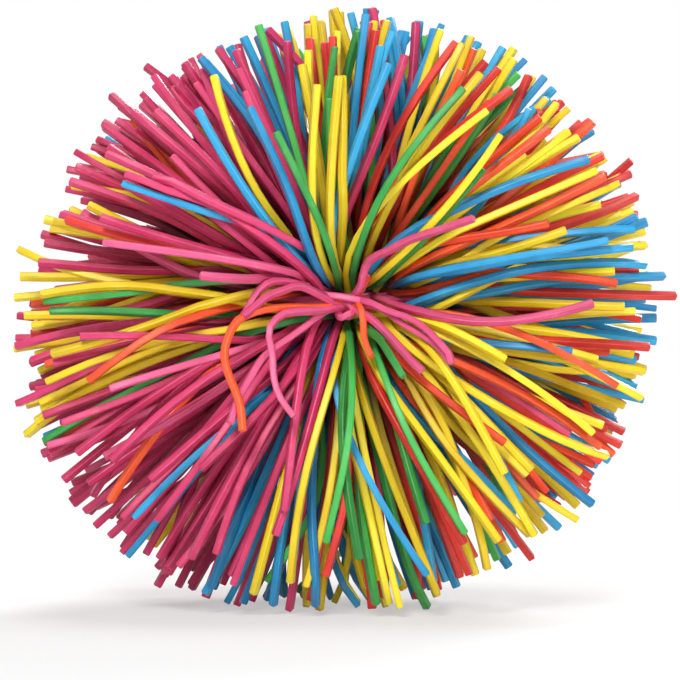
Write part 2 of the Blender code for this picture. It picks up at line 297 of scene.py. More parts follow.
def evenly(points, count):
    steps = np.linalg.norm(np.diff(points, axis=0), axis=1)
    way = np.concatenate([[0], np.cumsum(steps)])
    wanted = np.linspace(0, way[-1], count)
    return np.stack([np.interp(wanted, way, points[:, axis]) for axis in range(3)], axis=1)


def endPath(end):
    start, tip, side = end["start"], end["tip"], end["side"]
    aim = tip.normalized()
    share = (2 * end["polar"] / math.pi) ** 2
    lean = partWay(*strand["leans"], share)
    bend = start + (up * side).lerp(aim, lean).normalized() * partWay(*strand["leads"], share)
    facing = min(1, max(0, aim.dot(front) / ball["laidFacing"]))
    laid = ball["laidBack"] * facing * facing * (3 - 2 * facing)
    tangent = (aim - front * aim.dot(front) * laid).normalized()
    nearTip = tip - tangent * strand["tipLead"]
    along = np.linspace(0, 1, strand["curvePoints"])[:, None]
    back = 1 - along
    points = (
        np.array(start) * back**3
        + np.array(bend) * (3 * back**2 * along)
        + np.array(nearTip) * (3 * back * along**2)
        + np.array(tip) * along**3
    )
    along = along[:, 0]
    loose = end["loose"]
    across = aim.cross(Vector(end["bendTo"])).normalized()
    around = front.cross(aim).normalized()
    points += np.outer(along**2 * (strand["bendLate"] - along) * end["bend"] * loose, across)
    points += np.outer(np.sin(along * math.pi * 2) * end["wave"] * loose, across.cross(aim))
    points += np.outer(np.sin(along * math.pi * strand["bowSpan"]) * end["arc"] * loose, around)
    points[:, 2] -= strand["sag"] * math.hypot(aim.x, aim.y) * loose * along**2
    if end["bow"] is not None:
        points = bowed(points, end["bow"] * mm)
    proud = np.minimum(points[:, 1] + ball["flatFrom"], 0)
    points[:, 1] -= proud * (1 - ball["flatShare"])
    return evenly(points, strand["points"])


def waistPlaces():  # where the strands pass the waist, ring by ring
    places = [(0.0, 0.0, 0)]
    for ring in range(1, strand["rings"] + 1):
        radius = ring * strand["ringStep"]
        count = round(2 * math.pi * radius / strand["pitch"])
        for index in range(count):
            turn = 2 * math.pi * (index + 0.5 * (ring % 2)) / count - math.pi / 2
            places.append((radius, turn, ring))
    return places


def strandEnds():
    places = waistPlaces()
    rings = [ring for _, _, ring in places]
    rng = random.Random(strand["seed"])
    cells = hankCells()
    ends = []
    for number, (radius, turn, ring) in enumerate(places):
        polar = math.acos(1 - (rings.index(ring) + rings.count(ring) / 2) / len(places))
        cell = hankOf(radius, turn, cells)
        around = Vector((math.cos(turn), math.sin(turn), 0))
        for side in (1, -1):
            shifted = polar + strand["scatter"] * rng.uniform(-1, 1)
            if ring == strand["rings"]:
                dips = (number % 2 == 0) == (side > 0)
                shifted += strand["dip"] * (1 if dips else strand["dipOthers"])
            shift = rng.uniform(-1, 1) * strand["scatter"]
            aside = Vector((math.cos(turn + shift), math.sin(turn + shift), 0))
            aim = clumped(parted(aside * math.sin(shifted) + up * side * math.cos(shifted)))
            ragged = rng.random() ** strand["raggedPower"] - strand["raggedMiddle"]
            reach = ballReach(aim) + strand["raggedness"] * ragged
            if rng.random() < strand["strayShare"]:
                reach += rng.random() * strand["strayLength"]
            shared = noise.noise(aim * strand["sharedBowSize"] + up * strand["sharedBowSeed"])
            ends.append({
                "side": side, "polar": polar, "cell": cell,
                "start": around * radius + up * side * strand["waistHalf"],
                "tip": aim * reach,
                "bend": rng.gauss(0, strand["bendSpread"]) * strand["bend"],
                "bendTo": [rng.gauss(0, 1) for _ in range(3)],
                "wave": rng.gauss(0, strand["waveSpread"]) * strand["wave"],
                "arc": shared * strand["sharedBow"] + rng.gauss(0, 1) * strand["ownBow"],
                "tone": rng.random(),
                "spin": rng.uniform(0, math.pi / 2),
                "twist": rng.gauss(0, strand["twistSpread"]) * strand["twist"],
                "colour": None, "loose": 1.0, "bow": None,
            })
    return ends


def packedTips(name):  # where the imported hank's strands are cut off
    node = bpy.data.objects[name]
    caps = []
    for face in node.data.polygons:
        middle = node.matrix_world @ face.center - ball["centre"]
        if face.area < strand["capArea"] and middle.length > strand["capFrom"]:
            caps.append(middle)
    tips = []
    while len(caps) > 1:  # two triangles to a cut end
        first = caps.pop()
        second = caps.pop(min(range(len(caps)), key=lambda i: (caps[i] - first).length))
        tips.append((first + second) / 2)
    return sorted(tips, key=lambda tip: tip.z)


def followPacked(ends):
    for cell in hankCells():
        tips = packedTips(cell["name"])
        for number, tip in enumerate(tips):
            side = 1 if number >= len(tips) / 2 else -1
            costs = {}
            for index, end in enumerate(ends):
                if end["cell"]["name"] == cell["name"] and end["side"] == side and end["loose"] == 1:
                    gain = strand["modelledPairGain"] if ends[index ^ 1]["loose"] < 1 else 0
                    costs[index] = end["tip"].angle(tip) - gain
            ends[min(costs, key=costs.get)].update(tip=tip, loose=strand["modelledLoose"])


def placeByHand(ends):
    wanted = [(colour, *each) for colour, group in placedEnds.items() for each in group]
    wanted.sort(key=lambda each: (each[2], each[1]))
    for colour, clock, reach, bow in wanted:
        angle = math.radians(clock)
        x, z = math.sin(angle) * reach * mm, math.cos(angle) * reach * mm
        high = ball["top"] if z > 0 else ball["bottom"]
        left = 1 - (x / ball["halfWidth"]) ** 2 - (z / high) ** 2
        y = -ball["frontDepth"] * math.sqrt(max(left, laying["leastLeft"])) * laying["depth"]
        tip = Vector((x, y, z))
        costs = {}
        for index, end in enumerate(ends):
            other = ends[index ^ 1]
            paired = other["bow"] is not None
            if end["bow"] is not None or (paired and other["colour"] != colour):
                continue
            cost = end["tip"].angle(tip) + (0 if end["cell"]["colour"] == colour else laying["colourCost"])
            cost += laying["modelledCost"] if end["loose"] < 1 else 0
            aside = abs(end["start"].x) * laying["asideCost"]
            cost += aside + (0 if end["start"].y < 0 else laying["behindCost"])
            costs[index] = cost - (laying["pairGain"] if paired else 0)
        best = min(costs, key=costs.get)
        end = ends[best]
        end["bend"] *= laying["bendKept"]
        end["wave"] *= laying["waveKept"]
        end.update(tip=tip, bow=bow, colour=colour, arc=0)
        ends[best ^ 1]["colour"] = colour


def layingRank(end):
    under = end["tip"].x < -laying["leftOf"] and end["colour"] in ("blue", "green")
    return -1 if under else laying["order"].index(end["colour"])


def draped(heights):  # the line of a strand that lies over the highest places
    held = [0]
    for index in range(1, len(heights)):
        while len(held) > 1:
            before, last = held[-2], held[-1]
            rise = (heights[index] - heights[before]) / (index - before)
            if heights[last] > heights[before] + rise * (last - before):
                break
            held.pop()
        held.append(index)
    line = np.interp(range(len(heights)), held, heights[held])
    reach = laying["rounding"]
    kernel = np.hanning(2 * reach + 3)[1:-1]
    longer = np.pad(line, reach, mode="reflect", reflect_type="odd")
    line = np.convolve(longer, kernel / kernel.sum(), mode="valid")
    return line - line[0]


def treeOf(spots):
    tree = kdtree.KDTree(len(spots))
    for index, spot in enumerate(spots):
        tree.insert(spot, index)
    tree.balance()
    return tree


def layOver(ends, paths):
    flat = paths.reshape(-1, 3)
    tree = treeOf([(x, z, 0) for x, _, z in flat])
    placed = [index for index, end in enumerate(ends) if end["bow"] is not None]
    placed.sort(key=lambda index: layingRank(ends[index]))
    count = paths.shape[1]
    for index in placed:
        lift = np.zeros(count)
        for step in range(laying["from"], count):
            x, y, z = paths[index, step]
            found = tree.find_range((x, z, 0), laying["beside"])
            near = [other for _, other, _ in found if other // count != index]
            if near:
                lift[step] = y - flat[near, 1].min() + laying["above"]
        lift = lift.clip(0, laying["most"])
        lift[-1] = max(lift[-1], laying["tipShare"] * lift.max())
        paths[index, :, 1] -= draped(lift)
    return paths


def colourTheRest(ends):
    rng = random.Random(hanks["seed"])
    kept = {end["cell"]["name"] for end in ends if end["colour"] == end["cell"]["colour"]}
    for index in range(0, len(ends), 2):
        above, below = ends[index], ends[index + 1]
        if above["colour"]:
            continue
        cell = above["cell"]
        topWords, lowWords = oddColours(above["tip"]), oddColours(below["tip"])
        share = hanks["oddShare"]
        if min(above["loose"], below["loose"]) < 1:
            share = hanks["recoloured"].get(cell["colour"], 0)
            fits = cell["colour"] in topWords and cell["colour"] in lowWords
            if above["tip"].y < hanks["frontFrom"] and not fits:
                share = hanks["misfits"]
        colour = cell["colour"]
        draw = rng.random()
        both = [word for word in topWords for match in lowWords if word == match]
        other = rng.choice(both or topWords + lowWords)
        if draw < share and cell["name"] in kept:
            colour = other
        if colour == cell["colour"]:
            kept.add(cell["name"])
        above["colour"] = below["colour"] = colour


# Settling: strands push each other apart and keep their lengths.

settling = {
    "rounds": 70,
    "quickRounds": 12,
    "nearEvery": 7,
    "near": 1.4 * mm,
    "waistRoom": 0.625 * mm,
    "room": 0.79 * mm,
    "placedRoom": 0.97 * mm,  # of the listed strands
    "roomFrom": 10,  # points out from the waist
    "held": 3,  # points at the waist that stay where they are
    "push": 0.45,
    "smooth": 0.35,
    "floor": 0.35 * mm,
    # only points in front of this and nearer to the knot than that go behind the tails
    "tailsFrom": -9 * mm,
    "tailsReach": 17 * mm,
    "tailsPush": 0.5,
}


def nearPairs(flat, owner, radius):
    tree = treeOf(flat)
    pairs = [
        (index, other) for index, spot in enumerate(flat)
        for _, other, _ in tree.find_range(spot, radius)
        if other > index and owner[other] != owner[index]
    ]
    return np.array(pairs).T


def putBehind(flat, tails):  # how far back each point has to go to lie under the tails
    lateral = np.linalg.norm(flat[:, None, ::2] - tails[None, :, ::2], axis=2)
    over = tails[None, :, 1] + tie["roomBehind"] - flat[:, None, 1]
    return np.where(lateral < tie["roomBehind"], over, 0).max(axis=1).clip(0)


def settle(paths, weights, placed, fixed, tails, rounds):
    count, length = paths.shape[:2]
    rest = paths.copy()
    lengths = np.linalg.norm(np.diff(paths, axis=1), axis=2)
    owner = np.concatenate([np.repeat(np.arange(count), length), np.full(len(fixed), -1)])
    steps = np.minimum(np.arange(length) / settling["roomFrom"], 1)
    full = np.where(placed, settling["placedRoom"], settling["room"])[:, None]
    roomByStep = partWay(settling["waistRoom"], full, steps)
    room = np.concatenate([roomByStep.ravel(), np.full(len(fixed), settling["room"])])
    moves = np.concatenate([np.repeat(weights, length), np.zeros(len(fixed))])
    held = settling["held"]
    moves[: count * length].reshape(count, length)[:, :held] = 0
    for turn in range(rounds):
        flat = np.concatenate([paths.reshape(-1, 3), fixed])
        if turn % settling["nearEvery"] == 0:
            first, second = nearPairs(flat, owner, settling["near"])
        gap = flat[first] - flat[second]
        distance = np.linalg.norm(gap, axis=1) + 1e-9
        wanted = (room[first] + room[second]) / 2
        lack = np.maximum(wanted - distance, 0) / distance
        shift = gap * (lack * settling["push"])[:, None]
        total = moves[first] + moves[second] + 1e-9
        change = np.zeros_like(flat)
        np.add.at(change, first, shift * (moves[first] / total)[:, None])
        np.add.at(change, second, -shift * (moves[second] / total)[:, None])
        paths = paths + change[: count * length].reshape(count, length, 3)
        away = np.hypot(paths[:, :, 0], paths[:, :, 2])
        inDimple = (paths[:, :, 1] < settling["tailsFrom"]) & (away < settling["tailsReach"])
        inDimple[:, :held] = False
        spots = paths[inDimple]
        spots[:, 1] += putBehind(spots, tails) * settling["tailsPush"]
        paths[inDimple] = spots
        drift = paths - rest
        soft = drift.copy()
        soft[:, 1:-1] = (drift[:, :-2] + drift[:, 2:]) / 2
        soft[:, -1] = 2 * drift[:, -2] - drift[:, -3]
        drift += (soft - drift) * settling["smooth"]
        drift[:, :held] = 0
        paths = rest + drift
        for step in range(1, length):
            ahead = paths[:, step] - paths[:, step - 1]
            ahead /= np.linalg.norm(ahead, axis=1)[:, None]
            paths[:, step] = paths[:, step - 1] + ahead * lengths[:, step - 1, None]
        paths[:, :, 2] = np.maximum(paths[:, :, 2], settling["floor"] - ball["centre"].z)
    return paths


# How open the ball is to the light at each point of the strands: rays go out through a
# coarse grid that holds how much strand there is in each cell.
openness = {
    "cell": 1.5 * mm,
    "cells": 56,
    "rays": 26,
    "rayStep": 1.2 * mm,
    "steps": 12,
    "firstStep": 1.6 * mm,
    "full": 0.42,  # the share of light that counts as fully open
}


def opennessOf(paths):
    cells, cell = openness["cells"], openness["cell"]
    grid = np.zeros((cells, cells, cells))

    def cellOf(points):
        return np.clip((points / cell + cells / 2).astype(int), 0, cells - 1)

    lengths = np.linalg.norm(np.diff(paths, axis=1), axis=2)
    middles = (paths[:, 1:] + paths[:, :-1]).reshape(-1, 3) / 2
    np.add.at(grid, tuple(cellOf(middles).T), lengths.ravel() * strand["width"] / cell**3)
    points = paths.reshape(-1, 3)
    light = np.zeros(len(points))
    for ray in range(openness["rays"]):
        high = 1 - 2 * (ray + 0.5) / openness["rays"]
        turn = ray * math.pi * (3 - math.sqrt(5))
        flat = math.sqrt(1 - high * high)
        way = np.array([math.cos(turn) * flat, math.sin(turn) * flat, high])
        depth = np.zeros(len(points))
        for step in range(openness["steps"]):
            spots = points + way * (openness["firstStep"] + step * openness["rayStep"])
            depth += grid[tuple(cellOf(spots).T)] * openness["rayStep"]
        light += np.exp(-depth)
    return np.minimum(light / openness["rays"] / openness["full"], 1).reshape(paths.shape[:2])


# The tie: strands wound round the waist, knotted in front, with loose tails.

tie = {
    "width": 0.61 * mm,
    "twist": 0.6,
    "tone": 0.35,
    "toneStep": 0.12,  # from one turn to the next
    "spinStep": 0.4,
    "seed": 3.1,
    "inner": 9.50 * mm,  # radius of the turns beneath
    "outer": 10.14 * mm,
    "ringPoints": 40,
    "opening": math.radians(9),  # where a turn leaves the waist for the knot, to each side
    "opens": 4,  # points over which it does so
    "opensOut": 0.5,  # in mm, as are the next three
    "opensUp": 0.35,
    "uneven": 0.12,
    "unevenHeight": 0.16,
    "unevenSize": 2,
    "gathered": 0.35,  # how far apart the lanes still are at the knot, as a share
    # where a turn goes through the knot: right and back in mm, and up as a share of its lane
    "throughRight": (0.3, 0.1, 0.5),
    "throughLeft": (-0.2, -0.2, -0.4),
    "knot": Vector((0.0, -11.4 * mm, 0.0)),
    # the strand wound round the knot and the coral one's stub: what it is part of, its tone
    # and spin, and its points to the right, forward and up from the knot in mm
    "atKnot": (
        ("pink_tie_lower", 0.7, 0.3, (
            (-2.3, 0.9, 0.95), (-0.8, 1.35, 0.85), (0.8, 1.5, 0.6), (1.75, 1.35, 0.35), (2.0, 0.8, -0.15),
            (1.2, 0.5, -0.55), (0.3, 0.9, -0.9), (-0.35, 0.7, -1.2), (-0.7, 0.1, -0.8), (-0.4, 0.2, 0.1),
            (0.3, 0.75, 0.15), (0.75, 0.85, -0.4), (0.4, 0.5, -1.1), (-0.1, -0.2, -1.0), (-0.2, -0.6, -0.2),
        )),
        ("coral_tie", 0.5, 0.6, ((1.0, -0.2, 0.2), (1.4, 0.5, 1.1), (1.9, 0.9, 2.3), (2.3, 1.2, 2.9))),
    ),
    "tailStart": 11.7 * mm,
    "tailDepth": 0.64,  # how steeply the tails come forward in the dimple
    "tailProud": 4,  # mm from the knot where a tail lies proud in full
    "tailClear": 1.2 * mm,  # in front of the waist, from here on the tails push strands back
    "roomBehind": 0.80 * mm,
    "stations": 90,
    "perSpan": 8,  # points between two of the route
    "along": 0.6,  # it gets as much painted waist shade as a strand does this far out
    # Each turn: its height on the waist in mm, whether it lies over the others, its two tails
    # as points to the right and up from the knot in mm, and how far each lies proud.
    "turns": (
        {
            "name": "pink_tie_upper", "lane": 0.80, "over": False,
            "left": ((-2.2, 0.9), (-4.5, 2.0), (-6.0, 1.6), (-7.5, 1.1), (-8.8, 0.1), (-10.0, -0.9)),
            "right": (
                (1.5, 1.8), (1.9, 3.6), (2.6, 4.7), (4.3, 5.5), (6.1, 6.5), (8.6, 7.4),
                (10.6, 8.1), (12.5, 8.8),
            ),
            "proud": (0.5, 0.2),
        },
        {
            "name": "pink_tie_upper", "lane": 0.42, "over": True,
            "left": ((-2.3, 1.0), (-4.6, 2.1), (-6.9, 2.5), (-8.5, 1.6), (-9.4, 0.0), (-10.1, -1.1)),
            "right": (
                (2.1, 0.4), (4.3, -0.5), (6.3, -1.1), (7.9, -2.1), (9.2, -3.4), (10.1, -4.4),
                (10.4, -5.4),
            ),
            "proud": (-0.3, 0.8),
        },
        {
            "name": "pink_tie_lower", "lane": 0.0, "over": False,
            "left": (
                (-2.0, -0.5), (-3.8, -0.5), (-6.0, -0.7), (-6.9, -1.4), (-7.5, -2.5), (-7.1, -4.7),
                (-7.0, -6.7), (-6.4, -8.7), (-5.0, -10.6),
            ),
            "right": ((3.3, -0.2), (5.8, -1.8), (7.9, -3.0), (9.4, -4.1), (10.2, -5.3)),
            "proud": (0.9, -0.1),
        },
        {
            "name": "pink_tie_lower", "lane": -0.38, "over": True,
            "left": ((-2.6, -1.0), (-4.6, -2.5), (-7.8, -4.7), (-9.2, -6.7), (-10.5, -9.0), (-11.2, -11.2)),
            "right": ((2.3, -1.1), (4.1, -2.7), (5.6, -4.3), (6.5, -5.3), (7.5, -6.2)),
            "proud": (-0.6, 0.5),
        },
        {
            "name": "coral_tie", "lane": -0.80, "over": False,
            "left": (
                (-2.4, -0.2), (-5.4, -0.1), (-8.2, -0.3), (-10.3, -1.1), (-11.2, -2.3), (-11.8, -4.3),
                (-11.5, -6.2), (-10.7, -8.1), (-10.2, -9.7), (-10.0, -11.9),
            ),
            "right": ((1.4, 0.2), (1.8, -1.4), (1.9, -3.2), (2.3, -4.3), (2.6, -4.9)),
            "proud": (0.2, 1.2),
        },
    ),
}


def tailPoints(flatPoints, proud):
    points = []
    for x, z in flatPoints:
        away = math.hypot(x, z)
        proudHere = proud * mm * min(1, away / tie["tailProud"])
        deep = tie["tailStart"] + (tie["tailDepth"] * away * mm) + proudHere
        points.append(Vector((x * mm, -deep, z * mm)))
    return points


def routeThrough(points):
    line = [points[0]] + list(points) + [points[-1]]
    perSpan = tie["perSpan"]
    made = []
    for index in range(1, len(line) - 2):
        a, b, c, d = line[index - 1: index + 3]
        for step in range(perSpan):
            t = step / perSpan
            made.append(0.5 * (
                2 * b + (c - a) * t + (2 * a - 5 * b + 4 * c - d) * t**2
                + (3 * b - a - 3 * c + d) * t**3
            ))
    made.append(points[-1])
    return evenly(np.array(made), tie["stations"])


def throughKnot(way, lane):
    x, y, share = tie[way]
    return tie["knot"] + Vector((x * mm, y * mm, lane * share))


def tieRoute(turn, seed):
    radius = tie["outer"] if turn["over"] else tie["inner"]
    lane = turn["lane"] * mm
    size = tie["unevenSize"]
    steps = tie["ringPoints"]
    ringPoints = []
    for step in range(steps + 1):
        angle = -math.pi / 2 + tie["opening"] + (2 * math.pi - 2 * tie["opening"]) * step / steps
        uneven = noise.noise(Vector((math.cos(angle) * size, math.sin(angle) * size, seed)))
        close = min(1, min(step, steps - step) / tie["opens"])
        around = radius + uneven * tie["uneven"] * mm + (1 - close) * tie["opensOut"] * mm
        height = lane * partWay(tie["gathered"], 1, close)
        height += uneven * tie["unevenHeight"] * mm * close
        height += (1 - close) * tie["opensUp"] * mm
        ringPoints.append(Vector((math.cos(angle) * around, math.sin(angle) * around, height)))
    left, right = map(tailPoints, (turn["left"], turn["right"]), turn["proud"])
    # The strand comes out of the left tail, through the knot and round by the right.
    points = left[::-1] + [throughKnot("throughLeft", lane)] + ringPoints
    points += [throughKnot("throughRight", lane)] + right
    return routeThrough(points)


def knotRoute(spots):
    return routeThrough([tie["knot"] + Vector((x, -forward, z)) * mm for x, forward, z in spots])


# Meshes: every strand is a cube whose one end is extruded along its line.

def frames(points, spin, twist):  # which way each station's square faces
    made = []
    ahead = (points[1] - points[0]).normalized()
    sideways = ahead.orthogonal().normalized()
    sideways = Quaternion(ahead, spin) @ sideways
    for index, here in enumerate(points):
        before = points[max(index - 1, 0)]
        after = points[min(index + 1, len(points) - 1)]
        new = (after - before).normalized()
        sideways = ahead.rotation_difference(new) @ sideways
        sideways = Quaternion(new, twist / len(points)) @ sideways
        sideways = (sideways - sideways.dot(new) * new).normalized()
        ahead = new
        made.append((here, sideways, ahead.cross(sideways)))
    return made


def addObject(name, data):
    made = bpy.data.objects.new(name, data)
    bpy.context.scene.collection.objects.link(made)
    return made


def addMesh(name, bm):
    mesh = bpy.data.meshes.new(name)
    bm.to_mesh(mesh)
    bm.free()
    return addObject(name, mesh)


def sweepPiece(name, routes):
    bm = bmesh.new()
    owner = bm.faces.layers.int.new("owner")
    cutEnd = bm.faces.layers.float.new("cutEnd")
    names = ("cornerX", "cornerY", "tone", "along", "tipWay", "openTo")
    cornerX, cornerY, tone, along, tipWay, openTo = map(bm.verts.layers.float.new, names)

    def place(vert, route, station):
        here, sideways, outward = route["frames"][station]
        half = route["widths"][station] / 2
        vert.co = here + (sideways * vert[cornerX] + outward * vert[cornerY]) * half
        vert[along] = route["along"][station]
        vert[tipWay] = route["tipWay"][station]
        vert[openTo] = route["open"][station]

    leads = []  # the face of each strand that is extruded on
    for index, route in enumerate(routes):
        made = bmesh.ops.create_cube(bm, size=2)["verts"]
        for face in {face for vert in made for face in vert.link_faces}:
            if face.calc_center_median().z > 0.5:
                face[owner] = index
                leads.append(face)
            elif face.calc_center_median().z < -0.5:
                face[cutEnd] = 1
        for vert in made:
            vert[cornerX], vert[cornerY] = vert.co.x, vert.co.y
            vert[tone] = route["tone"]
            place(vert, route, 1 if vert.co.z > 0 else 0)
    for station in range(2, len(routes[0]["frames"])):
        leads = bmesh.ops.extrude_discrete_faces(bm, faces=leads)["faces"]
        for face in leads:
            route = routes[face[owner]]
            for vert in face.verts:
                place(vert, route, station)
    for face in leads:
        face[cutEnd] = 1
    for vert in bm.verts:
        vert.co.z = max(vert.co.z, -ball["centre"].z)  # not below the floor
    finishStrands(bm, cutEnd, cornerX, cornerY, tipWay)
    bmesh.ops.translate(bm, vec=ball["centre"], verts=bm.verts[:])
    piece = addMesh(name, bm)
    attributes = piece.data.attributes
    for layer in ("owner", "cornerX", "cornerY"):
        attributes.remove(attributes[layer])
    return piece


def finishStrands(bm, cutEnd, cornerX, cornerY, tipWay):
    strip = bm.loops.layers.uv.new("strip")
    for face in bm.faces:
        face.smooth = face[cutEnd] < 0.5
        oneSide = len({loop.vert[cornerX] for loop in face.loops}) == 1
        for loop in face.loops:
            vert = loop.vert
            across = vert[cornerY if oneSide else cornerX]
            down = vert[tipWay] * 1000 if face.smooth else vert[cornerY] * 0.5 + 0.5  # in mm
            loop[strip].uv = (across * 0.5 + 0.5, down)
    for edge in bm.edges:
        a, b = edge.verts
        lengthwise = a[cornerX] == b[cornerX] and a[cornerY] == b[cornerY]
        atEnd = any(face[cutEnd] > 0.5 for face in edge.link_faces)
        edge.smooth = not (lengthwise or atEnd)


def routeOf(points, spin, twist, tone, widths, alongs, light):
    return {
        "frames": frames(points, spin, twist),
        "tipWay": tipWays(points),
        "tone": tone, "widths": widths, "along": alongs, "open": light,
    }


def strandRoute(above, lines, light):
    step = strand["meshEvery"]
    points = [Vector(point) for point in [*lines[0][::-1][::step], *lines[1][::step]]]
    light = [*light[0][::-1][::step], *light[1][::step]]
    half = len(points) // 2
    widths, alongs = [], []
    for index in range(len(points)):
        out = abs(index - half + 0.5) - 0.5
        share = min(1, out / strand["widens"])
        widths.append(partWay(strand["squeezed"], strand["width"], share))
        alongs.append(out / (half - 1))
    for tip, nearTip in ((0, 1), (-1, -2)):
        inner = points[tip] + (points[nearTip] - points[tip]).normalized() * strand["tipBevel"]
        at = 1 if tip == 0 else len(points) - 1
        points.insert(at, inner)
        widths.insert(at, strand["width"])
        alongs.insert(at, 1.0)
        light.insert(at, light[tip])
        widths[tip] = strand["width"] * strand["tipWidth"]
    return routeOf(points, above["spin"], above["twist"], above["tone"], widths, alongs, light)


def tieStrand(line, tone, spin):
    points = [Vector(point) for point in line]
    widths, alongs, light = ([value] * len(points) for value in (tie["width"], tie["along"], 1.0))
    return routeOf(points, spin, tie["twist"], tone, widths, alongs, light)


def tipWays(points):  # how far each point is from the nearer cut end
    way = [0]
    for before, after in zip(points, points[1:]):
        way.append(way[-1] + (after - before).length)
    return [min(there, way[-1] - there) for there in way]


# Materials.

class Signal:  # a shader socket that takes part in plain arithmetic
    def __init__(self, graph, socket):
        self.graph = graph
        self.socket = socket

    def math(self, operation, *others):
        return self.graph.node("ShaderNodeMath", {"operation": operation}, dict(enumerate([self, *others])))

    def __add__(self, other):
        return self.math("ADD", other)

    __radd__ = __add__

    def __mul__(self, other):
        return self.math("MULTIPLY", other)

    __rmul__ = __mul__

    def __sub__(self, other):
        return self.math("SUBTRACT", other)

    def __rsub__(self, other):
        return self.graph.node("ShaderNodeMath", {"operation": "SUBTRACT"}, {0: other, 1: self})

    def __abs__(self):
        return self.math("ABSOLUTE")

    def between(self, low, high):
        values = {"Value": self, "From Min": low, "From Max": high}
        return self.graph.node("ShaderNodeMapRange", {"interpolation_type": "SMOOTHSTEP"}, values)


class Graph:  # the nodes of one material, or of the world
    def __init__(self, owner):
        owner.use_nodes = True
        self.owner = owner
        self.tree = owner.node_tree
        self.shader = self.tree.nodes.get("Principled BSDF")

    def node(self, kind, settings, values=None, output=0):
        made = self.tree.nodes.new(kind)
        for key, value in settings.items():
            setattr(made, key, value)
        for key, value in (values or {}).items():
            self.feed(made.inputs[key], value)
        return Signal(self, made.outputs[output])

    def feed(self, socket, value):
        if isinstance(value, Signal):
            self.tree.links.new(value.socket, socket)
        elif socket.type == "RGBA":
            socket.default_value = (*value, 1)
        else:
            socket.default_value = value

    def shade(self, name, value):
        self.feed(self.shader.inputs[name], value)

    def mix(self, share, first, second):
        return self.node("ShaderNodeMix", {"data_type": "RGBA"}, {0: share, 6: first, 7: second}, 2)

    def attribute(self, name):
        return self.node("ShaderNodeAttribute", {"attribute_name": name}, {}, "Fac")

    def noise(self, vector, scale, detail=2.0, roughness=0.5):
        values = {"Vector": vector, "Scale": scale, "Detail": detail, "Roughness": roughness}
        return self.node("ShaderNodeTexNoise", {}, values)


# Colours as lit and in painted shade, linear; each strand's tone also varies between the two.
rubberColours = {
    "magenta": ((0.70, 0.050, 0.168), (0.42, 0.006, 0.065)),
    "yellow": ((0.95, 0.76, 0.022), (0.68, 0.45, 0.006)),
    "blue": ((0.030, 0.42, 0.76), (0.010, 0.17, 0.42)),
    "green": ((0.060, 0.47, 0.080), (0.012, 0.19, 0.030)),
    "red": ((0.84, 0.044, 0.030), (0.42, 0.006, 0.007)),
    "coral": ((1.0, 0.125, 0.030), (0.66, 0.032, 0.008)),
    "pink": ((0.82, 0.120, 0.285), (0.52, 0.028, 0.105)),
}

rubber = {
    "roughness": 0.40,
    "dustRoughness": 0.26,
    "cutRoughness": 0.2,
    "grainRoughness": 0.12,
    "specular": 0.42,
    # drag lines down the strand: how fine across, how fine along, and how they differ from
    # strand to strand
    "lines": (7, 0.22, 40),
    "patches": 210,
    "grain": 2600,
    "specks": 1100,
    # how light the colour is: its middle, and how far the strand's tone and the rest shift it
    "shade": 0.60,
    "toneShift": 0.55,
    "patchShift": 0.8,
    "lineShift": 0.7,
    "nearWaistShade": 0.30,  # how far painted shade darkens the colour towards the waist
    "inShade": 0.55,  # how far it goes to its shade colour where little light gets in
    "shadeBelow": 0.75,
    "shadeShare": 0.40,
    "buriedShade": 0.75,  # and then painted shade towards black deep between the strands
    "buriedShadeFrom": (0.04, 0.36),
    "buriedShadeShare": 0.08,
    "paleShare": 0.38,
    "dust": 0.30,
    # paler long edges: partly talc wear, partly a painted edge highlight
    "edgeWearAndHighlight": 0.16,
    "cutPale": 0.05,
    # relief in mm
    "roundDepth": 0.085,
    "lineDepth": 0.018,
    "grainDepth": 0.010,
    "cutDepth": 0.03,
}


def darker(colour, share):
    return tuple(channel * share for channel in colour)


